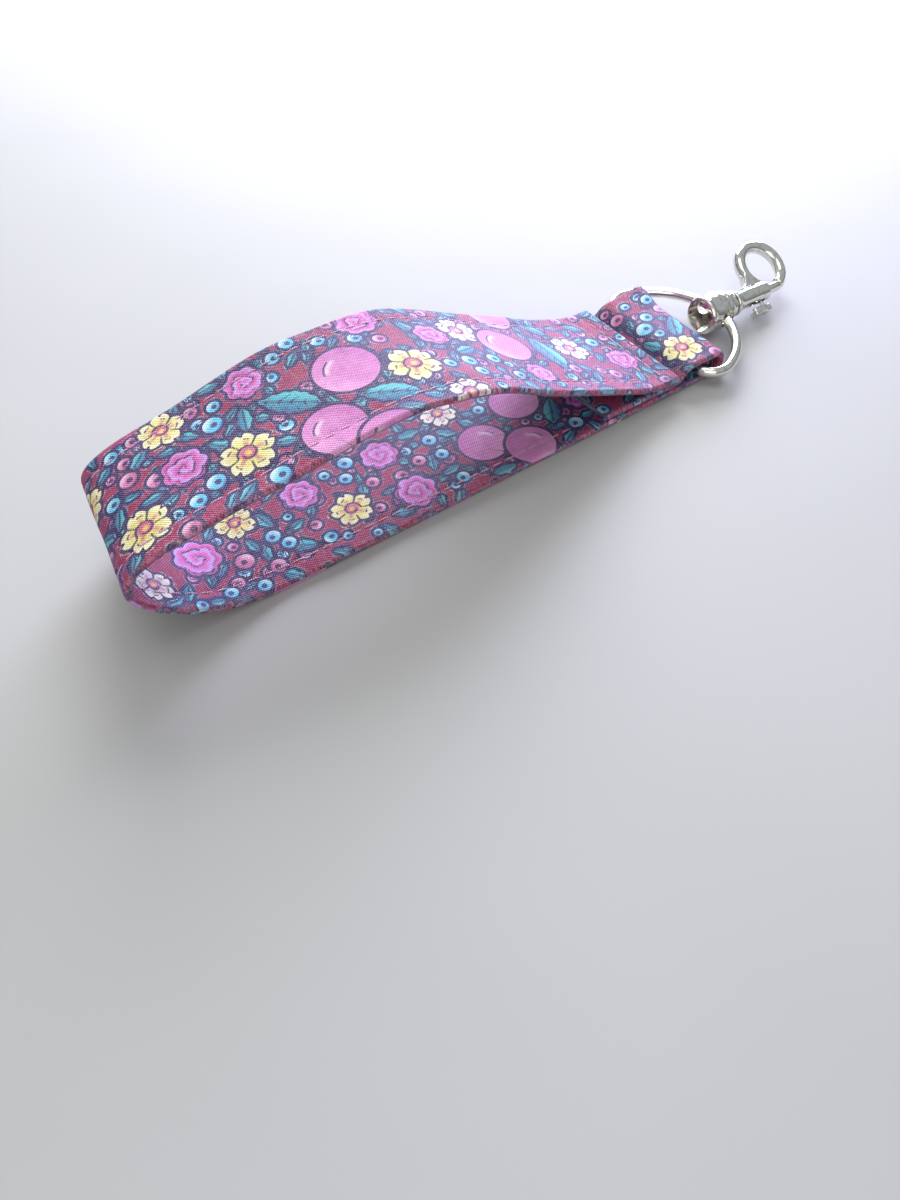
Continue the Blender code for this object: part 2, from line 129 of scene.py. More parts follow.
# Printed cloth: each row is kind, s, t, radius or half length, and turn in degrees
OUTER_MOTIFS = [
    ("disc", 229, 1, 6.4, 0), ("disc", 220, -11, 6.0, 0), ("disc", 227, -19, 6.4, 0),
    ("disc", 267, 2, 6.2, 0), ("disc", 273, 15, 5.6, 0),
    ("flower", 206, -6, 5.3, 10), ("flower", 240, -4, 5.4, 40), ("pale", 258, 7, 4.9, 20),
    ("flower", 196, 11, 4.9, 0), ("flower", 186, -9, 4.9, 30), ("flower", 178, 6, 4.5, 15),
    ("pale", 245, -15, 4.4, 0), ("pale", 287, 2, 4.9, 50), ("pale", 168, -6, 4.6, 0),
    ("rose", 196, -1, 4.5, 0), ("rose", 213, 10, 4.3, 60), ("rose", 250, 5, 3.9, 120),
    ("rose", 238, 13, 4.5, 200), ("rose", 268, -9, 3.7, 20), ("rose", 298, -4, 4.0, 90),
    ("rose", 175, -13, 4.4, 40), ("rose", 163, 5, 4.6, 10),
    ("leaf", 217, 0, 6.3, -41), ("leaf", 232, -9, 5.8, -28), ("leaf", 278, 0, 7.3, -94),
    ("leaf", 209, 2, 3.6, -107), ("leaf", 203, -1, 3.2, -54), ("leaf", 212, -8, 2.8, -25),
    ("leaf", 199, 6, 2.9, -42), ("leaf", 190, 7, 3.2, 41), ("leaf", 246, 8, 3.2, -65),
    ("leaf", 183, -3, 2.8, -109), ("leaf", 202, -14, 2.8, 37), ("leaf", 207, 14, 2.8, -9),
    ("leaf", 189, -4, 2.6, 0), ("leaf", 254, -1, 3.4, 20), ("leaf", 282, 10, 4.0, -40),
    ("berry", 204, 5, 2.2, 0), ("berry", 206, 9, 1.6, 0), ("berry", 199, -8, 2.0, 0),
    ("berry", 195, -10, 1.8, 0), ("berry", 208, -14, 2.1, 0), ("berry", 220, 12, 1.7, 0),
    ("berry", 224, 14, 1.8, 0), ("berry", 229, 11, 1.7, 0), ("berry", 235, 8, 1.7, 0),
    ("berry", 170, 12, 1.6, 0), ("berry", 186, 12, 1.7, 0), ("berry", 252, -5, 1.9, 0),
    ("berry", 259, -4, 1.8, 0), ("berry", 252, -9, 1.7, 0), ("berry", 261, -10, 1.6, 0),
    ("berry", 183, 1, 1.7, 0), ("berry", 175, 1, 1.5, 0), ("berry", 296, 4, 1.9, 0),
    ("bud", 187, 4, 2.0, 0), ("bud", 191, 0, 2.0, 0), ("bud", 202, 11, 1.8, 0),
    ("bud", 192, -15, 1.9, 0), ("bud", 291, -9, 1.9, 0), ("bud", 280, -7, 1.8, 0),
]
TAB_MOTIFS = [
    ("flower", 28, -9, 4.8, 30), ("berry", 29, 4, 1.8, 0), ("berry", 26, 1, 2.1, 0),
    ("leaf", 32, -2, 4.5, -121), ("leaf", 24, -4, 3.0, -72), ("bud", 24, 8, 1.7, 0),
    ("bud", 33, -14, 1.7, 0), ("rose", 37, 13, 3.1, 0), ("leaf", 25, -15, 2.2, -48),
    ("rose", 41, -3, 4.4, 0), ("bud", 34, 5, 1.8, 0), ("berry", 33, 9, 1.7, 0),
]
INNER_MOTIFS = [
    ("disc", 97, -5, 5.6, 0), ("disc", 89, -11, 5.6, 0), ("disc", 84, 2, 5.8, 0),
    ("pale", 100, 8, 4.4, 0), ("flower", 129, -6, 4.6, 20), ("flower", 150, 3, 4.4, 0),
    ("rose", 117, 4, 4.3, 0), ("rose", 116, -9, 4.6, 80), ("rose", 136, 3, 4.2, 40),
    ("rose", 160, -3, 5.0, 0), ("pale", 171, -10, 4.3, 0), ("rose", 72, -5, 3.4, 60),
    ("leaf", 109, 6, 3.0, -177), ("leaf", 102, 2, 2.8, -140), ("leaf", 107, -8, 2.6, 173),
    ("leaf", 98, -14, 3.2, -177), ("leaf", 114, 0, 2.6, -133), ("leaf", 145, 1, 3.2, -111),
    ("leaf", 79, -5, 4.6, -60), ("leaf", 141, -9, 3.6, 30), ("flower", 66, 6, 4.6, 10),
    ("berry", 106, 2, 1.8, 0), ("berry", 106, -3, 1.7, 0), ("berry", 124, 6, 1.9, 0),
    ("berry", 126, 2, 1.7, 0), ("berry", 106, -11, 1.7, 0), ("berry", 145, -4, 1.8, 0),
    ("berry", 143, -7, 1.7, 0), ("berry", 157, -13, 1.6, 0), ("berry", 92, 4, 1.6, 0),
    ("berry", 77, -11, 1.9, 0), ("berry", 151, -14, 1.6, 0), ("bud", 111, -2, 1.7, 0),
    ("bud", 152, -7, 2.1, 0), ("bud", 147, -11, 1.8, 0), ("bud", 122, -2, 1.7, 0),
]
DRAWING_ORDER = ("leaf", "bud", "berry", "rose", "pale", "flower", "disc")
FILLER_PITCH = 3.9
FILLER_SEED = 11
OUTLINE_HALF = 0.34
# A distance that stands for no line or edge nearby
FAR_OFF = 9.0
YARN_PITCH = 0.58
TWIST_PITCH = 0.42

GROUND = (156, 22, 72)
INK = (18, 8, 78)
MAUVE = ((222, 134, 198), (244, 176, 222), (196, 96, 176))
TEAL = ((20, 150, 172), (74, 200, 206), (12, 98, 146))
YELLOW = ((244, 234, 128), (252, 248, 190), (214, 96, 128))
PALE = ((236, 226, 206), (250, 246, 226), (214, 110, 156))
PINK = ((222, 94, 176), (214, 160, 238), (150, 34, 116))
BLUE = ((92, 204, 240), (206, 244, 252), (30, 100, 176))
ROSY = ((214, 118, 164), (242, 190, 216), (150, 46, 98))

# Ring and clasp
RING_WIRE = 2.4
RING_DEPTH = 17.9
RING_RADIUS = 18.1
RING_CORNER = 4.4
RING_BAR = (49.6, -0.4, 3.1)
RING_TILT_DEG = 4.6
CUP_MIDDLE = (66.8, -1.4, 4.5)
CLASP_PITCH_DEG = -2.5
HOOK_ROLL_DEG = 28.0
CUP_PROFILE = [
    (-4.3, 4.0), (-4.0, 4.3), (-3.5, 4.35), (-2.9, 4.15), (-1.6, 4.2), (-0.3, 4.4),
    (0.6, 4.4), (1.2, 4.0), (1.7, 3.75), (2.2, 3.9), (2.8, 3.9), (3.3, 3.45), (3.8, 3.3),
    (4.4, 3.3), (4.7, 3.1),
]
CUP_HOLLOW = [(-5.3, 3.6), (-1.0, 3.6), (1.2, 3.2), (2.9, 2.4), (3.15, 1.9)]
RING_HOLE_PLACE = 0.5
RING_HOLE_RADIUS = 2.1
PIN_HOLE_RADIUS = 1.0
WASHER_PROFILE = [(5.0, 2.5), (5.08, 2.75), (5.2, 2.8), (5.32, 2.75), (5.4, 2.5)]
BARREL_START = 5.7
BARREL_PROFILE = [
    (0.0, 2.9), (0.35, 3.1), (0.8, 3.0), (1.3, 2.45), (2.2, 2.3), (11.3, 2.3), (11.9, 2.0),
]
BORE_RADIUS = 1.5
BORE_SPAN = (0.9, 15.1)
HOOK_MIDDLE = (14.5, 5.75)
HOOK_RADIUS = 5.75
HOOK_WIRE = 2.9
HOOK_TIP_DEG = -67.0
HOOK_ROOT_DEG = 232.0
WEB_OUTLINE = [
    (4.2, 1.2), (6.6, 3.1), (7.9, 5.6), (9.4, 5.6), (10.1, 3.0), (11.7, 1.5), (11.7, 0.3),
    (4.2, 0.3),
]
WEB_THICKNESS = 2.2
BOLT_PROFILE = [(7.7, 1.0), (7.9, 1.2), (16.1, 1.2), (16.35, 1.12), (16.5, 0.9)]
STUD_PLACE = 8.6
STALK_RADIUS = 0.5
STALK_SPAN = (0.55, 3.6)
SLOT_SPAN = (4.4, 9.6)
SLOT_DEPTH = (-4.0, -0.6)
SLOT_WIDTH = 1.7
PAD_SPAN = (4.4, 9.9)
PAD_DEPTH = (3.4, 5.3)
PAD_WIDTH = 2.4
PAD_ROUNDING = 0.6
SPRING_RADIUS = 0.95
SPRING_WIRE = 0.3
SPRING_SPAN = (2.15, 7.25)
SPRING_TURNS = 5
CAST_VOXEL = 0.13
CAST_SMOOTHING = 10
CAP_BULGE = 0.55
HAIRLINE_ROUGHNESS = 0.1
SHARP_EDGE_DEG = 38.0
ARC_STEPS = 96
CORNER_STEPS = 20
COIL_STEPS = 24


# ---------------------------------------------------------------- strap shape

def smooth_route(points, steps):
    """Points along a Catmull-Rom curve through the route's points."""
    rows = [np.array(p, float) for p in points]
    chain = [2 * rows[0] - rows[1], *rows, 2 * rows[-1] - rows[-2]]
    route = []
    for k in range(1, len(chain) - 2):
        before, start, end, after = chain[k - 1:k + 3]
        for step in range(steps):
            f = step / steps
            bend = (2 * before - 5 * start + 4 * end - after) * f * f
            turn = (3 * start - before - 3 * end + after) * f * f * f
            route.append((2 * start + (end - before) * f + bend + turn) * 0.5)
    route.append(rows[-1])
    return route


class StrapPath:
    """The strap's middle surface, sampled by length along it."""

    def __init__(self):
        route = smooth_route(TAB_ROUTE, ROUTE_STEPS)
        for step in range(1, 2 * ROUTE_STEPS + 1):
            angle = math.pi / 2 - math.pi * step / (2 * ROUTE_STEPS)
            x = FOLD_CENTRE[0] + FOLD_RADIUS * math.cos(angle)
            z = FOLD_CENTRE[1] + FOLD_RADIUS * math.sin(angle)
            route.append(np.array((x, z, FOLD_SKEW, 0.0)))
        fold_end = len(route)
        loop = smooth_route(LOOP_ROUTE, ROUTE_STEPS)
        for step in range(1, 8 * ROUTE_STEPS):
            f = step / (8 * ROUTE_STEPS)
            route.append(route[fold_end - 1] * (1 - f) + loop[0] * f)
        loop_start = len(route)
        rows = np.array(route + loop)
        along = np.gradient(rows[:, :2], axis=0)
        along /= np.linalg.norm(along, axis=1)[:, None]
        steps = np.linalg.norm(np.diff(rows[:, :2], axis=0), axis=1)
        widen = np.clip((np.arange(len(rows)) - fold_end) / (loop_start - fold_end), 0, 1)
        self.s = np.concatenate([[0.0], np.cumsum(steps)])
        self.length = self.s[-1]
        self.rows = rows
        self.normal = np.stack([-along[:, 1], along[:, 0]], axis=1)
        self.near = TAB_EDGES[0] * (1 - widen) + STRAP_EDGES[0] * widen
        self.far = TAB_EDGES[1] * (1 - widen) + STRAP_EDGES[1] * widen

    def read(self, s, values):
        return np.interp(s, self.s, values)

    def s_at(self, x, upper):
        """Where the loop's upper or lower layer passes a given x."""
        bend = int(np.argmin(self.rows[:, 0]))
        fold = int(np.argmax(self.rows[:, 0]))
        part = slice(bend, None) if upper else slice(fold, bend)
        return float(self.s[part][np.argmin(np.abs(self.rows[part, 0] - x))])

    def place(self, s, t, out):
        """Points in metres, at (s, t) and a height out from the middle surface."""
        lift = out + ripple(s, t)
        x = self.read(s, self.rows[:, 0]) + self.read(s, self.rows[:, 2]) * t
        x = x + lift * self.read(s, self.normal[:, 0])
        z = self.read(s, self.rows[:, 1]) + self.read(s, self.rows[:, 3]) * t
        z = z + lift * self.read(s, self.normal[:, 1])
        corner = smooth_step(t, 5.0, 14.0) * np.exp(-(((s - FOLD_AT) / FOLD_REACH) ** 2))
        x = x + LIFTED_CORNER[0] * corner
        z = z + LIFTED_CORNER[1] * corner
        return np.stack([x, t + 0.0 * x, np.maximum(z, 0.0)], axis=-1) * MM


def smooth_step(value, low, high):
    f = np.clip((value - low) / (high - low), 0, 1)
    return f * f * (3 - 2 * f)


def ripple(s, t):
    """The slight waviness of a sewn strap, gone where it lies flat or is held by the seam."""
    free = smooth_step(s, 100, 150) * (1 - smooth_step(s, 285, 297))
    waves = 0.16 * np.sin(s / 7.1 + 0.12 * t) * np.sin(t / 9.0 + s / 31.0)
    waves = waves + 0.07 * np.sin(s / 2.9 + 1.3 + 0.35 * t)
    edge = smooth_step(np.abs(t), 10.5, 15.5)
    waves = waves + 0.16 * edge * np.sin(s / 4.3 + np.sign(t) * 1.1)
    return waves * free


def seam_dip(path, s, t, outer):
    """How deep the stitching draws the cloth down."""
    start, end = path.s_at(LOOP_SEAM_X[0], False), path.s_at(LOOP_SEAM_X[1], True)
    sewn = smooth_step(s, start - 1, start + 1) * (1 - smooth_step(s, end - 1, end + 1))
    across = STRAP_EDGES[1] - STITCH_INSET
    off = (np.abs(t) - across) / SEAM_WIDTH
    pull = 0.78 + 0.22 * np.cos(2 * math.pi * s / STITCH_PITCH)
    dip = SEAM_DEPTH * np.exp(-off * off) * pull * sewn
    for _, _, x in SEAM_ROWS:
        near_row = (s - path.s_at(x, True)) / SEAM_WIDTH
        held = 1 - smooth_step(np.abs(t), SEAM_ROW_HALF, SEAM_ROW_HALF + 1)
        pucker = 0.78 + 0.22 * np.cos(2 * math.pi * t / STITCH_PITCH)
        if outer:
            dip = dip + SEAM_DEPTH * np.exp(-near_row * near_row) * held * pucker
    return dip


# ---------------------------------------------------------------- print

def to_linear(colour):
    c = np.array(colour, float) / 255
    return np.where(c <= 0.04045, c / 12.92, ((c + 0.055) / 1.055) ** 2.4)


def blend_colours(base, other, amount):
    amount = np.clip(amount, 0, 1)[..., None]
    return base * (1 - amount) + to_linear(other) * amount


# Each drawer takes places in a motif's own frame, and gives the distance inside its edge, the
# fill colour and the distance to its nearest drawn line.

def draw_disc(x, y, size, look):
    middle, light, dark = look
    rho = np.hypot(x, y)
    fill = np.broadcast_to(to_linear(middle), (*x.shape, 3))
    fill = blend_colours(fill, dark, smooth_step((x + y) / size, 0.3, 1.3) * 0.7)
    fill = blend_colours(fill, light, smooth_step(-(x + y) / size, 0.2, 1.2) * 0.6)
    angle = np.arctan2(y, x)
    turn = smooth_step(np.cos(angle - 2.4), 0.72, 0.95)
    arc = np.exp(-(((rho / size - 0.52) / 0.07) ** 2)) * turn
    fill = blend_colours(fill, (252, 226, 246), arc * 0.8)
    fold = np.abs(rho - 0.62 * size) + 0.05 + FAR_OFF * (np.cos(angle - 2.5) < 0.86)
    return size - rho, fill, fold


def draw_berry(x, y, size, look):
    middle, light, dark = look
    rho = np.hypot(x, y)
    fill = np.broadcast_to(to_linear(middle), (*x.shape, 3))
    fill = blend_colours(fill, light, smooth_step(-(x - y) / size, 0.1, 0.9))
    fill = blend_colours(fill, dark, smooth_step((x - y) / size, 0.6, 1.3))
    eye = np.hypot(x - 0.12 * size, y + 0.08 * size)
    return size - rho, fill, np.maximum(eye - 0.2 * size, 0.0)


def draw_flower(x, y, size, look):
    middle, light, heart = look
    rho = np.hypot(x, y)
    petals = []
    for k in range(5):
        turn = 2 * math.pi * k / 5
        away = np.hypot(x - 0.55 * size * math.cos(turn), y - 0.55 * size * math.sin(turn))
        petals.append(0.46 * size - away)
    angle = np.arctan2(y, x)
    ordered = np.sort(np.array(petals), axis=0)
    notch = 0.17 * size * smooth_step(np.cos(5 * angle), 0.86, 1.0)
    inside = np.maximum(ordered[-1] - notch, 0.4 * size - rho)
    fill = np.broadcast_to(to_linear(middle), (*x.shape, 3))
    fill = blend_colours(fill, light, smooth_step(rho / size, 0.45, 0.85))
    fill = blend_colours(fill, heart, 1 - smooth_step(rho / size, 0.24, 0.36))
    spoke = smooth_step(np.cos(5 * angle + 0.5), 0.3, 1.0)
    fill = blend_colours(fill, heart, 0.8 * spoke * (1 - smooth_step(rho / size, 0.4, 0.7)))
    fill = blend_colours(fill, (246, 214, 96), 1 - smooth_step(rho / size, 0.08, 0.15))
    between = (ordered[-1] - ordered[-2]) * 0.6 + FAR_OFF * (rho < 0.38 * size)
    curl = size * (0.2 + 0.17 * (angle + math.pi) / (2 * math.pi))
    ring = np.abs(rho - curl)
    crease = size * (0.62 + 0.05 * np.cos(5 * angle))
    pleat = np.abs(rho - crease) + 0.04 + FAR_OFF * (np.cos(5 * angle + 0.9) < 0.45)
    return inside, fill, np.minimum(np.minimum(between, ring), pleat)


def draw_rose(x, y, size, look):
    middle, light, dark = look
    rho = np.hypot(x, y)
    angle = np.arctan2(y, x)
    edge = size * (0.86 + 0.16 * np.abs(np.cos(3.5 * angle + 0.6)))
    phase = rho / edge * 2.2 - angle / (2 * math.pi)
    phase = phase + 0.12 * np.sin(3 * angle + rho)
    part = phase - np.floor(phase)
    fill = np.broadcast_to(to_linear(middle), (*x.shape, 3))
    fill = blend_colours(fill, light, smooth_step(part, 0.35, 0.85))
    fill = blend_colours(fill, dark, 1 - smooth_step(part, 0.05, 0.3))
    swirl = (np.minimum(part, 1 - part)) * edge / 2.2
    swirl = swirl + FAR_OFF * (np.cos(2.5 * angle + rho) < -0.35)
    return (edge - rho) * 0.9, fill, swirl


def draw_leaf(x, y, size, look):
    middle, light, dark = look
    half_width = 0.46 * size
    run = np.clip(x / size, -1.2, 1.2)
    edge = half_width * (1 - run * run) * (1 + 0.18 * run) + 0.12 * np.sin(x * 3.2)
    inside = (edge - np.abs(y)) * 0.85
    fill = np.broadcast_to(to_linear(middle), (*x.shape, 3))
    fill = blend_colours(fill, light, smooth_step(y / half_width, 0.0, 0.5))
    fill = blend_colours(fill, dark, smooth_step(-y / half_width, 0.1, 0.9))
    rib = np.abs(y) + 0.05 + FAR_OFF * (np.abs(x) > 0.86 * size)
    veins = np.abs(np.abs(y) - ((x * 0.8) % 1.9)) + 0.1 + FAR_OFF * (size < 4.4)
    return inside, fill, np.minimum(rib, veins)


DRAWERS = {
    "disc": (draw_disc, MAUVE),
    "berry": (draw_berry, BLUE),
    "bud": (draw_berry, ROSY),
    "flower": (draw_flower, YELLOW),
    "pale": (draw_flower, PALE),
    "rose": (draw_rose, PINK),
    "leaf": (draw_leaf, TEAL),
}


def filler_motifs(seed):
    """Small leaves, berries and buds between the large motifs."""
    chance = np.random.default_rng(seed)
    rows = []
    for i in range(int(STRAP_LENGTH / FILLER_PITCH) + 1):
        for j in range(-4, 5):
            shift = chance.uniform(-1.2, 1.2, 2)
            place = (i * FILLER_PITCH + shift[0], (j + 0.5 * (i % 2)) * FILLER_PITCH + shift[1])
            kind = chance.choice(["leaf", "leaf", "leaf", "berry", "bud", "none"])
            size = {"leaf": 2.5, "berry": 1.35, "bud": 1.45, "none": 0.0}[str(kind)]
            turn = chance.uniform(0, 360)
            scale = chance.uniform(0.85, 1.2)
            if size:
                rows.append((str(kind), *place, size * scale, turn))
    return rows


def repeat(motifs, shift, flip, low, high):
    """The same motifs further along the cloth, as a repeating print has them."""
    moved = [(k, s + shift, -t if flip else t, r, a) for k, s, t, r, a in motifs]
    return [m for m in moved if low <= m[1] <= high]


def paint_face(s_line, t_line, motifs, fillers):
    """Fill colour, distance to the nearest motif edge and distance to the nearest drawn line."""
    s, t = np.meshgrid(s_line, t_line, indexing="ij")
    fill = np.broadcast_to(to_linear(GROUND), (*s.shape, 3)).copy()
    edge = np.full(s.shape, -FAR_OFF)
    line = np.full(s.shape, FAR_OFF)
    ranked = sorted(motifs, key=lambda m: DRAWING_ORDER.index(m[0]))
    for kind, s_mid, t_mid, size, turn in [*fillers, *ranked]:
        reach = size * 1.25 + 1.0
        rows = slice(*np.searchsorted(s_line, (s_mid - reach, s_mid + reach)))
        columns = slice(*np.searchsorted(t_line, (t_mid - reach, t_mid + reach)))
        x, y = s[rows, columns] - s_mid, t[rows, columns] - t_mid
        if x.size == 0:
            continue
        cos, sin = math.cos(math.radians(turn)), math.sin(math.radians(turn))
        drawer, look = DRAWERS[kind]
        inside, colours, drawn = drawer(cos * x + sin * y, cos * y - sin * x, size, look)
        own = inside > -OUTLINE_HALF
        close = (~own) & (np.abs(inside) < np.abs(edge[rows, columns]))
        held = edge[rows, columns]
        edge[rows, columns] = np.where(own, inside, np.where(close, -np.abs(inside), held))
        line[rows, columns] = np.where(own, drawn, line[rows, columns])
        area = fill[rows, columns]
        area[own] = colours[own]
    return fill, edge, line


# ---------------------------------------------------------------- mesh helpers

def link(name, mesh):
    piece = bpy.data.objects.new(name, mesh)
    bpy.context.scene.collection.objects.link(piece)
    return piece


def mesh_from_arrays(name, points, faces):
    mesh = bpy.data.meshes.new(name)
    mesh.from_pydata(points.reshape(-1, 3).tolist(), [], faces)
    mesh.update()
    mesh.shade_smooth()
    return mesh


def write_attribute(mesh, name, kind, values):
    layer = mesh.attributes.new(name, kind, "POINT")
    field = "color" if kind == "FLOAT_COLOR" else "vector" if kind == "FLOAT_VECTOR" else "value"
    layer.data.foreach_set(field, np.ascontiguousarray(values, dtype=np.float32).ravel())


def grid_faces(rows, ring):
    """Quads of a tube made of rows of ring points, with both ends closed."""
    index = np.arange(rows * ring).reshape(rows, ring)
    after = np.roll(index, -1, axis=1)
    quads = np.stack([index[:-1], after[:-1], after[1:], index[1:]], axis=-1).reshape(-1, 4)
    return quads.tolist() + [index[0, ::-1].tolist(), index[-1].tolist()]


# ---------------------------------------------------------------- node helpers

class Nodes:
    """Short calls for building one material."""

    def __init__(self, name):
        self.material = bpy.data.materials.new(name)
        self.material.use_nodes = True
        self.tree = self.material.node_tree
        self.shader = self.tree.nodes["Principled BSDF"]

    def add(self, kind, **settings):
        node = self.tree.nodes.new(kind)
        for key, value in settings.items():
            setattr(node, key, value)
        return node

    def join(self, source, target):
        self.tree.links.new(source, target)

    def math(self, operation, first, second=None, third=None):
        node = self.add("ShaderNodeMath", operation=operation)
        for socket, value in zip(node.inputs, (first, second, third)):
            if isinstance(value, (int, float)):
                socket.default_value = value
            elif value is not None:
                self.join(value, socket)
        return node.outputs[0]

    def mix(self, factor, first, second):
        node = self.add("ShaderNodeMix", data_type="RGBA")
        sockets = [node.inputs[0], *[s for s in node.inputs if s.type == "RGBA"]]
        for socket, value in zip(sockets, (factor, first, second)):
            if isinstance(value, tuple):
                socket.default_value = (*value, 1.0)
            else:
                self.join(value, socket)
        return next(s for s in node.outputs if s.type == "RGBA")

    def ramp(self, value, low, high, start=0.0, end=1.0):
        node = self.add("ShaderNodeMapRange", interpolation_type="SMOOTHSTEP")
        self.join(value, node.inputs["Value"])
        node.inputs["From Min"].default_value = low
        node.inputs["From Max"].default_value = high
        node.inputs["To Min"].default_value = start
        node.inputs["To Max"].default_value = end
        return node.outputs["Result"]

    def noise(self, vector, scale, detail=3.0, roughness=0.55):
        node = self.add("ShaderNodeTexNoise")
        node.inputs["Scale"].default_value = scale
        node.inputs["Detail"].default_value = detail
        node.inputs["Roughness"].default_value = roughness
        self.join(vector, node.inputs["Vector"])
        return node.outputs["Fac"]

    def bump(self, height, distance, strength=1.0):
        node = self.add("ShaderNodeBump")
        node.inputs["Distance"].default_value = distance
        node.inputs["Strength"].default_value = strength
        self.join(height, node.inputs["Height"])
        self.join(node.outputs["Normal"], self.shader.inputs["Normal"])


def linear(colour):
    return tuple(float(c) for c in to_linear(colour))


def cotton_material():
    nodes = Nodes("printed_cotton")
    shader = nodes.shader
    fill = nodes.add("ShaderNodeAttribute", attribute_name="print_fill").outputs["Color"]
    edge = nodes.add("ShaderNodeAttribute", attribute_name="print_edge").outputs["Fac"]
    line = nodes.add("ShaderNodeAttribute", attribute_name="print_line").outputs["Fac"]
    cloth = nodes.add("ShaderNodeAttribute", attribute_name="cloth_mm").outputs["Vector"]
    split = nodes.add("ShaderNodeSeparateXYZ")
    nodes.join(cloth, split.inputs[0])
    yarn = 2 * math.pi / YARN_PITCH
    wobble = nodes.noise(cloth, 0.9, 2.0)
    warp = nodes.math("ADD", nodes.math("MULTIPLY", split.outputs["X"], yarn), wobble)
    weft = nodes.math("ADD", nodes.math("MULTIPLY", split.outputs["Y"], yarn), wobble)
    weave = nodes.math("MULTIPLY", nodes.math("SINE", warp), nodes.math("SINE", weft))
    stretch = nodes.add("ShaderNodeMapping")
    nodes.join(cloth, stretch.inputs["Vector"])
    stretch.inputs["Scale"].default_value = (0.25, 3.4, 1.0)
    slub_warp = nodes.noise(stretch.outputs["Vector"], 1.0, 2.0)
    cross = nodes.add("ShaderNodeMapping")
    nodes.join(cloth, cross.inputs["Vector"])
    cross.inputs["Scale"].default_value = (3.4, 0.25, 1.0)
    slub_weft = nodes.noise(cross.outputs["Vector"], 1.0, 2.0)
    slubs = nodes.math("ADD", slub_warp, slub_weft)
    bleed = nodes.math("MULTIPLY", nodes.math("SUBTRACT", nodes.noise(cloth, 2.6), 0.5), 0.16)
    ink_width = nodes.math("ABSOLUTE", nodes.math("ADD", edge, bleed))
    outline = nodes.ramp(ink_width, 0.26, 0.42, 1.0, 0.0)
    drawn = nodes.ramp(nodes.math("ADD", line, bleed), 0.14, 0.34, 0.95, 0.0)
    ink = nodes.math("MAXIMUM", outline, drawn)
    shade = nodes.ramp(nodes.noise(cloth, 0.5), 0.3, 0.75, 0.0, 0.22)
    tinted = nodes.mix(shade, fill, linear((96, 30, 70)))
    inked = nodes.mix(ink, tinted, linear(INK))
    # Painted highlight on the weave's raised crests and painted shade in its hollows, from the same
    # weave pattern that raises the bump.
    yarn_crest_highlight = nodes.ramp(weave, -0.2, 1.0, 0.0, 0.12)
    woven = nodes.mix(yarn_crest_highlight, inked, linear((250, 214, 240)))
    yarn_hollow_shade = nodes.ramp(nodes.math("MULTIPLY", weave, -1.0), 0.0, 1.0, 0.0, 0.3)
    woven = nodes.mix(yarn_hollow_shade, woven, linear((52, 12, 40)))
    # Paler along the stretched slub streaks, which the bump also raises.
    slub_paling = nodes.ramp(slubs, 0.85, 1.3, 0.0, 0.1)
    woven = nodes.mix(slub_paling, woven, linear((236, 214, 226)))
    rim = nodes.add("ShaderNodeAttribute", attribute_name="edge_wear").outputs["Fac"]
    rim_noise = nodes.math("MULTIPLY", rim, nodes.ramp(nodes.noise(cloth, 1.7), 0.3, 0.7))
    woven = nodes.mix(nodes.math("MULTIPLY", rim_noise, 0.4), woven, linear((226, 178, 206)))
    nodes.join(woven, shader.inputs["Base Color"])
    nodes.join(nodes.ramp(weave, -1.0, 1.0, 0.74, 0.5), shader.inputs["Roughness"])
    shader.inputs["Sheen Weight"].default_value = 0.2
    shader.inputs["Sheen Roughness"].default_value = 0.35
    shader.inputs["Sheen Tint"].default_value = (*linear((176, 160, 255)), 1.0)
    shader.inputs["Specular IOR Level"].default_value = 0.3
    height = nodes.math("ADD", weave, nodes.math("MULTIPLY", slubs, 0.8))
    nodes.bump(height, 0.00007, 0.8)
    return nodes.material


def thread_material():
    nodes = Nodes("sewing_thread")
    lay = nodes.add("ShaderNodeAttribute", attribute_name="thread_lay").outputs["Vector"]
    split = nodes.add("ShaderNodeSeparateXYZ")
    nodes.join(lay, split.inputs[0])
    along = nodes.math("MULTIPLY", split.outputs["X"], 2 * math.pi / TWIST_PITCH)
    twist = nodes.math("SINE", nodes.math("ADD", along, split.outputs["Y"]))
    # Painted highlight on the thread's twist ridges and painted shade in its grooves, in step with the
    # twist bump.
    colour = nodes.mix(nodes.ramp(twist, -1.0, 1.0), linear((186, 116, 160)), linear((244, 204, 224)))
    soiled = nodes.ramp(nodes.noise(lay, 0.4), 0.35, 0.75, 0.0, 0.35)
    colour = nodes.mix(soiled, colour, linear((176, 120, 176)))
    nodes.join(colour, nodes.shader.inputs["Base Color"])
    nodes.join(nodes.ramp(twist, -1.0, 1.0, 0.7, 0.42), nodes.shader.inputs["Roughness"])
    nodes.shader.inputs["Sheen Weight"].default_value = 0.3
    nodes.bump(twist, 0.00005)
    return nodes.material


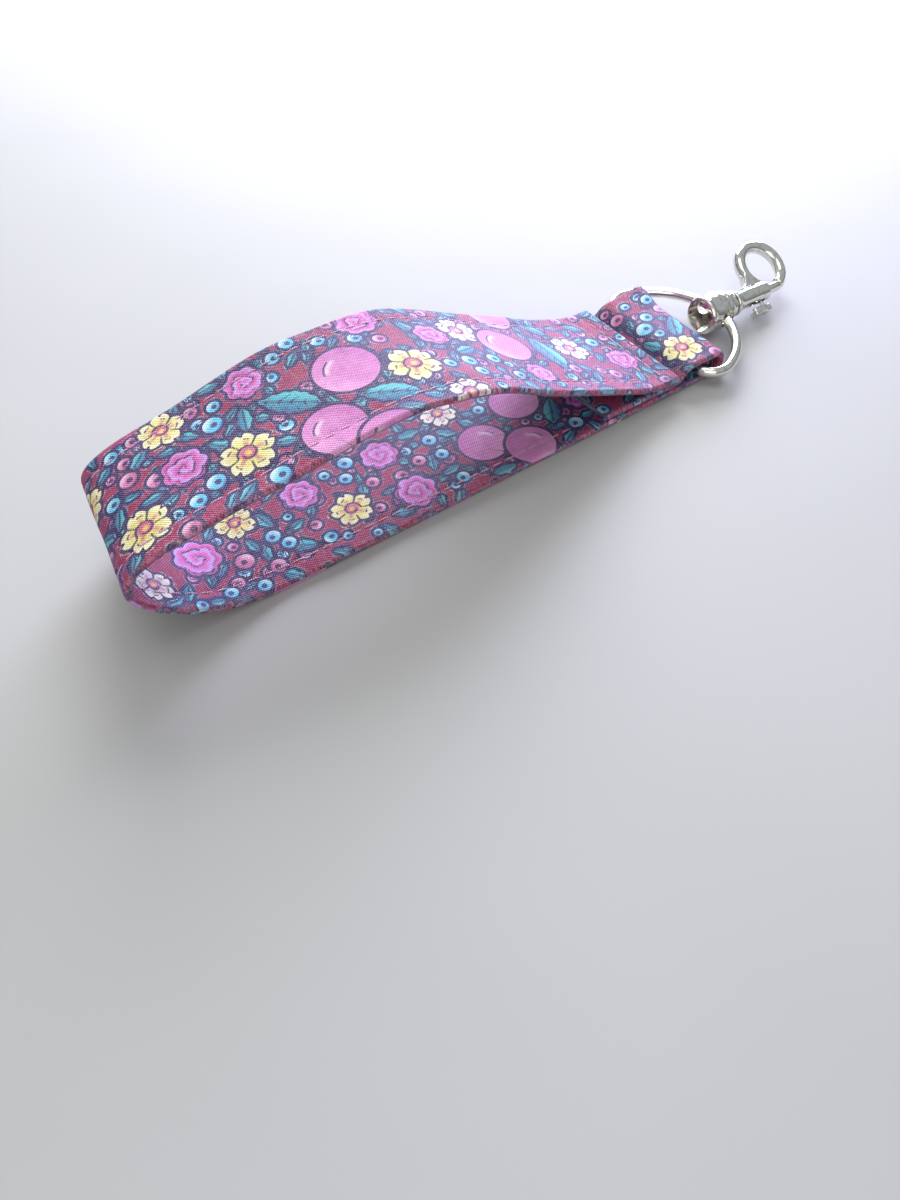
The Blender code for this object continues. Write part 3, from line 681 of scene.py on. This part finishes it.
def metal_material(name, bright, dull, polish):
    """Plated metal with faint casting waves, hairlines and a little tarnish."""
    nodes = Nodes(name)
    place = nodes.add("ShaderNodeTexCoord").outputs["Object"]
    hairs = nodes.add("ShaderNodeMapping")
    nodes.join(place, hairs.inputs["Vector"])
    hairs.inputs["Scale"].default_value = (300.0, 5200.0, 5200.0)
    hairline = nodes.noise(hairs.outputs["Vector"], 1.0, 4.0)
    waves = nodes.noise(place, 420.0, 2.0)
    tarnish = nodes.ramp(nodes.noise(place, 900.0, 5.0), 0.45, 0.75, 0.0, 0.45)
    colour = nodes.mix(tarnish, linear(bright), linear(dull))
    nodes.join(colour, nodes.shader.inputs["Base Color"])
    rough = nodes.ramp(hairline, 0.3, 0.75, polish, polish + HAIRLINE_ROUGHNESS)
    rough = nodes.math("MULTIPLY_ADD", tarnish, 0.16, rough)
    nodes.join(rough, nodes.shader.inputs["Roughness"])
    nodes.shader.inputs["Metallic"].default_value = 1.0
    height = nodes.math("MULTIPLY_ADD", waves, 3.0, hairline)
    nodes.bump(height, 0.000012, 0.7)
    return nodes.material


# ---------------------------------------------------------------- strap pieces

def half_thickness(t, near, far):
    """The strap's half thickness, rounded over at its folded edges."""
    inset = np.minimum(t - near, far - t)
    f = np.clip(1 - inset / EDGE_ROUNDING, 0, 1)
    return HALF_THICK * np.sqrt(np.maximum(1 - f * f, 0))


def make_strap(path):
    rows = int(path.length / CLOTH_STEP)
    s_line = np.linspace(0.0, path.length, rows)
    columns = int((STRAP_EDGES[1] - STRAP_EDGES[0]) / CLOTH_STEP)
    f = np.linspace(0.0, 1.0, columns)
    rim = np.array([0.0015, 0.006, 0.0135, 0.022])
    f = np.unique(np.concatenate([f, rim, 1 - rim]))
    near = path.read(s_line, path.near)[:, None]
    far = path.read(s_line, path.far)[:, None]
    t = near + (far - near) * f[None, :]
    s = np.broadcast_to(s_line[:, None], t.shape)
    thick = half_thickness(t, near, far)
    outer = path.place(s, t, thick - np.minimum(seam_dip(path, s, t, True), thick))
    inner = path.place(s, t, -(thick - np.minimum(seam_dip(path, s, t, False), thick)))
    inside = slice(-2, 0, -1)
    points = np.concatenate([outer, inner[:, inside]], axis=1)
    mesh = mesh_from_arrays("strap_fabric", points, grid_faces(rows, points.shape[1]))
    t_even = np.linspace(*STRAP_EDGES, columns)
    hidden = repeat(OUTER_MOTIFS, -128, True, 48, 158)
    outer_motifs = [*OUTER_MOTIFS, *TAB_MOTIFS, *hidden]
    inner_motifs = [*INNER_MOTIFS, *repeat(INNER_MOTIFS, 118, True, 182, 304)]
    inner_motifs += repeat(INNER_MOTIFS, -112, True, 0, 60)
    faces = []
    for motifs, seed in ((outer_motifs, FILLER_SEED), (inner_motifs, FILLER_SEED + 1)):
        painted = paint_face(s_line, t_even, motifs, filler_motifs(seed))
        faces.append([resample(layer, t_even, t) for layer in painted])
    layers = [np.concatenate([a, b[:, inside]], axis=1) for a, b in zip(*faces)]
    fill = np.concatenate([layers[0], np.ones((*layers[0].shape[:2], 1))], axis=-1)
    write_attribute(mesh, "print_fill", "FLOAT_COLOR", fill)
    write_attribute(mesh, "print_edge", "FLOAT", layers[1])
    write_attribute(mesh, "print_line", "FLOAT", layers[2])
    inset = np.minimum(t - near, far - t)
    wear = np.exp(-((inset / 0.8) ** 2))
    write_attribute(mesh, "edge_wear", "FLOAT", np.concatenate([wear, wear[:, inside]], axis=1))
    cloth = np.stack([s, t, np.zeros(s.shape)], axis=-1)
    back = np.stack([s, t, np.full(s.shape, 40.0)], axis=-1)
    write_attribute(mesh, "cloth_mm", "FLOAT_VECTOR",
                    np.concatenate([cloth, back[:, inside]], axis=1))
    return link("strap_fabric", mesh)


def resample(layer, t_even, t):
    """Read a painted layer at the strap's own points across."""
    step = t_even[1] - t_even[0]
    at = np.clip((t - t_even[0]) / step, 0, len(t_even) - 1.001)
    low = at.astype(int)
    part = at - low
    rows = np.arange(len(layer))[:, None]
    if layer.ndim == 3:
        part = part[..., None]
    return layer[rows, low] * (1 - part) + layer[rows, low + 1] * part


def stitch_tubes(path, runs):
    """Separate stitches. Each run gives (s, t) ends and the side of the cloth it lies on."""
    ring, rows = 8, 9
    points, lay, faces = [], [], []
    around = np.linspace(0, 2 * math.pi, ring, endpoint=False)
    for (s_a, t_a), (s_b, t_b), side in runs:
        f = np.linspace(0, 1, rows)
        s_mid, t_mid = s_a + (s_b - s_a) * f, t_a + (t_b - t_a) * f
        rise = 1 - np.abs(2 * f - 1) ** 4
        radius = STITCH_RADIUS * (0.62 + 0.38 * rise)
        height = HALF_THICK - SEAM_DEPTH - 0.12 + 0.19 * rise
        length = max(math.hypot(s_b - s_a, t_b - t_a), 1e-6)
        across_s, across_t = -(t_b - t_a) / length, (s_b - s_a) / length
        offset = np.cos(around)[None, :] * radius[:, None]
        out = side * (height[:, None] + np.sin(around)[None, :] * radius[:, None] * 0.85)
        places = path.place(s_mid[:, None] + across_s * offset,
                            t_mid[:, None] + across_t * offset, out)
        start = len(points) * ring * rows
        index = np.arange(ring * rows).reshape(rows, ring) + start
        after = np.roll(index, -1, axis=1)
        quads = np.stack([index[:-1], after[:-1], after[1:], index[1:]], axis=-1)
        faces += quads.reshape(-1, 4).tolist()
        faces += [index[0, ::-1].tolist(), index[-1].tolist()]
        points.append(places.reshape(-1, 3))
        along = (f * length)[:, None] + np.zeros(ring)
        turn = np.broadcast_to(around, along.shape)
        lay.append(np.stack([along, turn, np.full(along.shape, start * 0.01)], -1).reshape(-1, 3))
    return np.concatenate(points), faces, np.concatenate(lay)


def make_stitches(path, name, runs):
    points, faces, lay = stitch_tubes(path, runs)
    mesh = mesh_from_arrays(name, points, faces)
    bm = bmesh.new()
    bm.from_mesh(mesh)
    bmesh.ops.recalc_face_normals(bm, faces=bm.faces)
    bm.to_mesh(mesh)
    bm.free()
    mesh.shade_smooth()
    write_attribute(mesh, "thread_lay", "FLOAT_VECTOR", lay)
    return link(name, mesh)


def edge_runs(path, side_across, face):
    """Stitches along one edge, over the whole loop, on one face of the cloth."""
    start, end = path.s_at(LOOP_SEAM_X[0], False), path.s_at(LOOP_SEAM_X[1], True)
    across = side_across * (STRAP_EDGES[1] - STITCH_INSET)
    count = int((end - start) / STITCH_PITCH)
    runs = []
    for k in range(count):
        low = start + k * STITCH_PITCH + STITCH_GAP / 2
        drift = 0.12 * math.sin(low / 17.0 + side_across)
        slant = 0.05 * math.sin(low * 1.7)
        high = low + STITCH_PITCH - STITCH_GAP
        runs.append(((low, across + drift - slant), (high, across + drift + slant), face))
    return runs


def row_runs(path, x):
    """Stitches straight across the strap, on its top face."""
    s = path.s_at(x, True)
    count = int(2 * SEAM_ROW_HALF / STITCH_PITCH)
    runs = []
    for k in range(count):
        low = -SEAM_ROW_HALF + k * STITCH_PITCH + STITCH_GAP / 2
        runs.append(((s, low), (s + 0.08, low + STITCH_PITCH - STITCH_GAP), 1))
    return runs


# ---------------------------------------------------------------- metal pieces

def tube_mesh(name, points, radius, matrix, cyclic=False, ring=28):
    """A round wire through points in one plane of the local frame, with its ends rounded."""
    points = [Vector(p) for p in points]
    count = len(points)
    rows = []
    for k, point in enumerate(points):
        ahead = points[(k + 1) % count] if cyclic else points[min(k + 1, count - 1)]
        behind = points[k - 1] if cyclic else points[max(k - 1, 0)]
        along = (ahead - behind).normalized()
        up = Vector((0, 0, 1))
        rows.append((point, along.cross(up), up, radius, along))
    if not cyclic:
        for end, sign in ((0, -1), (len(rows) - 1, 1)):
            point, side, up, _, along = rows[end]
            caps = []
            for angle in (25, 50, 72, 86):
                a = math.radians(angle)
                shifted = point + along * (sign * radius * CAP_BULGE * math.sin(a))
                caps.append((shifted, side, up, radius * math.cos(a), along))
            rows = [*reversed(caps), *rows] if sign < 0 else [*rows, *caps]
    bm = bmesh.new()
    loops = []
    for point, side, up, r, _ in rows:
        loop = []
        for k in range(ring):
            a = 2 * math.pi * k / ring
            local = point + side * (r * math.cos(a)) + up * (r * math.sin(a))
            loop.append(bm.verts.new(matrix @ (local * MM)))
        loops.append(loop)
    pairs = list(zip(loops, loops[1:]))
    if cyclic:
        pairs.append((loops[-1], loops[0]))
    else:
        bm.faces.new(loops[0])
        bm.faces.new(loops[-1])
    for low, high in pairs:
        for k in range(ring):
            after = (k + 1) % ring
            bm.faces.new((low[k], low[after], high[after], high[k]))
    return finish_bmesh(bm, name)


def finish_bmesh(bm, name, smooth_deg=180.0):
    bmesh.ops.recalc_face_normals(bm, faces=bm.faces)
    mesh = bpy.data.meshes.new(name)
    bm.to_mesh(mesh)
    bm.free()
    mesh.shade_smooth()
    if smooth_deg < 180:
        mesh.set_sharp_from_angle(angle=math.radians(smooth_deg))
    return mesh


def turned_mesh(name, profile, matrix, segments=72, smooth_deg=35.0):
    """A solid turned about local X from (x, radius) points."""
    bm = bmesh.new()
    rings = []
    for x, radius in profile:
        ring = []
        for k in range(segments):
            a = 2 * math.pi * k / segments
            place = Vector((x, radius * math.cos(a), radius * math.sin(a)))
            ring.append(bm.verts.new(matrix @ (place * MM)))
        rings.append(ring)
    for low, high in zip(rings, rings[1:]):
        for k in range(segments):
            after = (k + 1) % segments
            bm.faces.new((low[k], low[after], high[after], high[k]))
    bm.faces.new(rings[0])
    bm.faces.new(rings[-1])
    return finish_bmesh(bm, name, smooth_deg)


def box_mesh(name, low, high, matrix):
    bm = bmesh.new()
    bmesh.ops.create_cube(bm, size=1.0)
    for vertex in bm.verts:
        for axis in range(3):
            middle = (low[axis] + high[axis]) / 2
            vertex.co[axis] = (middle + vertex.co[axis] * (high[axis] - low[axis])) * MM
    bm.transform(matrix)
    return finish_bmesh(bm, name, 30.0)


def apply_modifiers(piece):
    graph = bpy.context.evaluated_depsgraph_get()
    mesh = bpy.data.meshes.new_from_object(piece.evaluated_get(graph))
    mesh.name = piece.name
    piece.modifiers.clear()
    piece.data = mesh


def cut(piece, tools):
    """Cut holes in a piece, and leave no tool or modifier behind."""
    holders = []
    for mesh in tools:
        holder = link(mesh.name, mesh)
        step = piece.modifiers.new(mesh.name, "BOOLEAN")
        step.operation = "DIFFERENCE"
        step.solver = "EXACT"
        step.object = holder
        holders.append(holder)
    bpy.context.view_layer.update()
    apply_modifiers(piece)
    for holder in holders:
        bpy.data.objects.remove(holder, do_unlink=True)
    piece.data.shade_smooth()
    piece.data.set_sharp_from_angle(angle=math.radians(SHARP_EDGE_DEG))


def ring_points():
    arc_x = RING_DEPTH - RING_RADIUS
    corner_y = math.sqrt((RING_RADIUS - RING_CORNER) ** 2 - (RING_CORNER - arc_x) ** 2)
    turn = math.atan2(corner_y, RING_CORNER - arc_x)
    points = []
    for k in range(ARC_STEPS + 1):
        angle = -turn + 2 * turn * k / ARC_STEPS
        points.append((arc_x + RING_RADIUS * math.cos(angle), RING_RADIUS * math.sin(angle), 0))
    for side in (1, -1):
        corner = []
        for k in range(1, CORNER_STEPS + 1):
            angle = turn + (math.pi - turn) * k / CORNER_STEPS
            x = RING_CORNER + RING_CORNER * math.cos(angle)
            corner.append((x, side * (corner_y + RING_CORNER * math.sin(angle)), 0))
        points.extend(corner if side > 0 else reversed(corner))
    return points


def hook_points():
    points = []
    for k in range(ARC_STEPS + 1):
        angle = math.radians(HOOK_TIP_DEG + (HOOK_ROOT_DEG - HOOK_TIP_DEG) * k / ARC_STEPS)
        x = HOOK_MIDDLE[0] + HOOK_RADIUS * math.cos(angle)
        points.append((x, HOOK_MIDDLE[1] + HOOK_RADIUS * math.sin(angle), 0))
    return points


def web_mesh(matrix):
    bm = bmesh.new()
    low = -WEB_THICKNESS / 2
    floor = bm.faces.new([bm.verts.new(Vector((x, y, low)) * MM) for x, y in WEB_OUTLINE])
    grown = bmesh.ops.extrude_face_region(bm, geom=[floor])
    lifted = [item for item in grown["geom"] if isinstance(item, bmesh.types.BMVert)]
    bmesh.ops.translate(bm, verts=lifted, vec=(0.0, 0.0, WEB_THICKNESS * MM))
    bm.transform(matrix)
    return finish_bmesh(bm, "web")


def make_hook(matrix):
    """The cast body: barrel, hook and web run into each other with soft fillets."""
    parts = [
        turned_mesh("barrel", BARREL_PROFILE, matrix, 48),
        tube_mesh("wire", hook_points(), HOOK_WIRE / 2, matrix),
        web_mesh(matrix),
    ]
    bm = bmesh.new()
    for mesh in parts:
        bm.from_mesh(mesh)
    piece = link("cast_hook", finish_bmesh(bm, "cast_hook"))
    voxels = piece.modifiers.new("cast", "REMESH")
    voxels.mode = "VOXEL"
    voxels.voxel_size = CAST_VOXEL * MM
    soften = piece.modifiers.new("soften", "CORRECTIVE_SMOOTH")
    soften.iterations = CAST_SMOOTHING
    soften.smooth_type = "SIMPLE"
    soften.use_only_smooth = True
    bpy.context.view_layer.update()
    apply_modifiers(piece)
    slot_low = (SLOT_SPAN[0], SLOT_DEPTH[0], -SLOT_WIDTH / 2)
    slot_high = (SLOT_SPAN[1], SLOT_DEPTH[1], SLOT_WIDTH / 2)
    bore = [(BORE_SPAN[0], BORE_RADIUS), (BORE_SPAN[1], BORE_RADIUS)]
    pin = [(-1.0, PIN_HOLE_RADIUS), (BORE_SPAN[0] + 0.5, PIN_HOLE_RADIUS)]
    cut(piece, [
        turned_mesh("bore", bore, matrix, 48),
        turned_mesh("pin_hole", pin, matrix, 32),
        box_mesh("slot", slot_low, slot_high, matrix),
    ])
    return piece


def make_cup(matrix):
    profile = [tuple(p) for p in smooth_route(CUP_PROFILE, 4)]
    piece = link("turned_cup", turned_mesh("turned_cup", profile, matrix, 96))
    across = matrix @ Matrix.Translation((RING_HOLE_PLACE * MM, 0, 0))
    across = across @ Matrix.Rotation(math.radians(90), 4, "Z")
    hole = [(-6.0, RING_HOLE_RADIUS), (6.0, RING_HOLE_RADIUS)]
    pin = [(2.0, PIN_HOLE_RADIUS), (6.0, PIN_HOLE_RADIUS)]
    hollow = [tuple(p) for p in smooth_route(CUP_HOLLOW, 4)]
    cut(piece, [
        turned_mesh("hollow", hollow, matrix, 96),
        turned_mesh("ring_hole", hole, across, 64),
        turned_mesh("pin_hole", pin, matrix, 32),
    ])
    return piece


def make_stud(matrix):
    """The thumb stud: a stalk with a rounded pad, grooved across for the thumb."""
    frame_matrix = matrix @ Matrix.Translation((STUD_PLACE * MM, 0, 0))
    frame_matrix = frame_matrix @ Matrix.Rotation(math.radians(-90), 4, "Z")
    stalk = [(STALK_SPAN[0], STALK_RADIUS), (STALK_SPAN[1], STALK_RADIUS)]
    bm = bmesh.new()
    bmesh.ops.create_cube(bm, size=1.0)
    low = (PAD_DEPTH[0], PAD_SPAN[0] - STUD_PLACE, -PAD_WIDTH / 2)
    high = (PAD_DEPTH[1], PAD_SPAN[1] - STUD_PLACE, PAD_WIDTH / 2)
    for vertex in bm.verts:
        for axis in range(3):
            middle = (low[axis] + high[axis]) / 2
            vertex.co[axis] = (middle + vertex.co[axis] * (high[axis] - low[axis])) * MM
    bmesh.ops.bevel(bm, geom=bm.edges[:], offset=PAD_ROUNDING * MM, segments=5, profile=0.5,
                    affect="EDGES")
    for place in np.arange(low[1] + 1.1, high[1] - 1.0, 0.4):
        bmesh.ops.bisect_plane(bm, geom=bm.verts[:] + bm.edges[:] + bm.faces[:],
                               plane_co=(0, place * MM, 0), plane_no=(0, 1, 0))
    for vertex in bm.verts:
        top = vertex.co.x / MM > high[0] - 0.3
        run = vertex.co.y / MM - (low[1] + high[1]) / 2
        if top and abs(run) < (high[1] - low[1]) / 2 - 0.9:
            vertex.co.x -= (0.1 + 0.14 * math.cos(run / 1.6 * math.pi)) * MM
    bm.transform(frame_matrix)
    bm.from_mesh(turned_mesh("stalk", stalk, frame_matrix, 24))
    return link("thumb_slide", finish_bmesh(bm, "thumb_slide", 50.0))


def make_spring(matrix):
    """A coil spring along the hook's bore, between the two ends of SPRING_SPAN."""
    start, end = SPRING_SPAN
    count = SPRING_TURNS * COIL_STEPS
    curve = bpy.data.curves.new("coil", "CURVE")
    curve.dimensions = "3D"
    curve.bevel_depth = SPRING_WIRE / 2 * MM
    curve.bevel_resolution = 3
    curve.use_fill_caps = True
    spline = curve.splines.new("POLY")
    spline.points.add(count)
    for k, point in enumerate(spline.points):
        a = 2 * math.pi * k / COIL_STEPS
        place = Vector((start + (end - start) * k / count, SPRING_RADIUS * math.cos(a),
                        SPRING_RADIUS * math.sin(a)))
        point.co = (*(matrix @ (place * MM)), 1.0)
    holder = link("coil", curve)
    bpy.context.view_layer.update()
    graph = bpy.context.evaluated_depsgraph_get()
    mesh = bpy.data.meshes.new_from_object(holder.evaluated_get(graph))
    bpy.data.objects.remove(holder, do_unlink=True)
    mesh.shade_smooth()
    return link("coil_spring", mesh)


# ---------------------------------------------------------------- assembly

def dress(piece, body, material, nodes):
    piece.data.materials.clear()
    piece.data.materials.append(material)
    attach(piece, body)
    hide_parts(*nodes)


def build_strap():
    path = StrapPath()
    strap = make_strap(path)
    dress(strap, "strap", cotton_material(), ["strap_cover", "strap_interfacing"])
    thread = thread_material()
    stitches = []
    for side_name, side in (("near", -1), ("far", 1)):
        for thread_name, face in (("needle", 1), ("bobbin", -1)):
            name = f"{side_name}_{thread_name}_stitches"
            piece = make_stitches(path, name, edge_runs(path, side, face))
            node = f"{side_name}_edge_{thread_name}_thread"
            dress(piece, "strap", thread, [node])
            stitches.append(piece)
    for name, node, x in SEAM_ROWS:
        piece = make_stitches(path, name, row_runs(path, x))
        dress(piece, "strap", thread, [node])
        stitches.append(piece)
    return strap, stitches


def build_metal():
    nickel = metal_material("nickel_plate", (236, 234, 226), (176, 170, 158), 0.08)
    steel = metal_material("spring_steel", (196, 198, 202), (128, 126, 122), 0.2)
    tilt = Matrix.Rotation(-math.radians(RING_TILT_DEG), 4, "Y")
    ring_frame = Matrix.Translation(Vector(RING_BAR) * MM) @ tilt
    pitch = Matrix.Rotation(-math.radians(CLASP_PITCH_DEG), 4, "Y")
    clasp = Matrix.Translation(Vector(CUP_MIDDLE) * MM) @ pitch
    roll = Matrix.Rotation(math.radians(HOOK_ROLL_DEG), 4, "X")
    hook = clasp @ Matrix.Translation((BARREL_START * MM, 0, 0)) @ roll
    ring = link("wire_d_ring", tube_mesh("wire_d_ring", ring_points(), RING_WIRE / 2, ring_frame, True))
    dress(ring, "ring", nickel, ["d_ring"])
    dress(make_cup(clasp), "cup", nickel, ["swivel_cup"])
    washer = link("rounded_washer", turned_mesh("rounded_washer", WASHER_PROFILE, clasp, 72, 60))
    cut(washer, [turned_mesh("hole", [(4.0, PIN_HOLE_RADIUS), (6.4, PIN_HOLE_RADIUS)], clasp, 32)])
    dress(washer, "cup", nickel, ["swivel_washer"])
    dress(make_hook(hook), "hook", nickel, ["hook_body"])
    bolt = link("round_bolt", turned_mesh("round_bolt", BOLT_PROFILE, hook, 48, 50))
    dress(bolt, "bolt", nickel, ["slide_bolt"])
    dress(make_stud(hook), "bolt", nickel, ["thumb_stud"])
    spring = make_spring(hook)
    dress(spring, "hook", steel, ["bolt_spring"])
    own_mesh(spring)
    for slot in bpy.data.objects["swivel_rivet"].material_slots:
        slot.material = nickel
    return ring


# ---------------------------------------------------------------- camera, light and floor

def add_camera():
    data = bpy.data.cameras.new("camera")
    data.sensor_width = SENSOR_MM
    data.lens = SENSOR_MM * FOCAL_IN_PIXELS / PHOTO_HEIGHT
    data.clip_start = 0.005
    data.clip_end = 10.0
    camera = bpy.data.objects.new("camera", data)
    bpy.context.scene.collection.objects.link(camera)
    camera.location = CAMERA_PLACE
    camera.rotation_euler = (math.radians(CAMERA_PITCH_DEG), 0.0, math.radians(CAMERA_TURN_DEG))
    bpy.context.scene.camera = camera


def add_area_light(name, place, size, power, colour):
    data = bpy.data.lights.new(name, "AREA")
    data.shape = "SQUARE"
    data.size = size
    data.energy = power
    data.color = colour
    light = bpy.data.objects.new(name, data)
    bpy.context.scene.collection.objects.link(light)
    light.location = place
    light.rotation_euler = (-Vector(place)).to_track_quat("-Z", "Y").to_euler()


def add_floor():
    bpy.ops.mesh.primitive_plane_add(size=4.0)
    floor = bpy.context.object
    floor.name = "floor"
    nodes = Nodes("floor")
    mottled = nodes.ramp(nodes.noise(nodes.add("ShaderNodeTexCoord").outputs["Object"], 6.0), 0.3, 0.7)
    nodes.join(nodes.mix(mottled, (0.44, 0.435, 0.425), (0.47, 0.465, 0.45)),
               nodes.shader.inputs["Base Color"])
    nodes.shader.inputs["Roughness"].default_value = 0.7
    floor.data.materials.append(nodes.material)


def add_world():
    """A dim room that is brighter overhead."""
    world = bpy.data.worlds.new("room")
    world.use_nodes = True
    tree = world.node_tree
    background = tree.nodes["Background"]
    place = tree.nodes.new("ShaderNodeTexCoord")
    split = tree.nodes.new("ShaderNodeSeparateXYZ")
    tree.links.new(place.outputs["Generated"], split.inputs[0])
    ramp = tree.nodes.new("ShaderNodeValToRGB")
    ramp.color_ramp.elements[0].position = 0.02
    ramp.color_ramp.elements[0].color = (0.34, 0.33, 0.33, 1)
    ramp.color_ramp.elements[1].position = 0.5
    ramp.color_ramp.elements[1].color = (0.88, 0.95, 1.0, 1)
    tree.links.new(split.outputs["Z"], ramp.inputs[0])
    tree.links.new(ramp.outputs[0], background.inputs["Color"])
    background.inputs["Strength"].default_value = 0.45
    bpy.context.scene.world = world


add_camera()
add_floor()
add_world()
for light in LIGHTS:
    add_area_light(*light)
bpy.context.scene.view_settings.view_transform = "Standard"
ring_piece = build_metal()
strap_piece, stitch_pieces = build_strap()
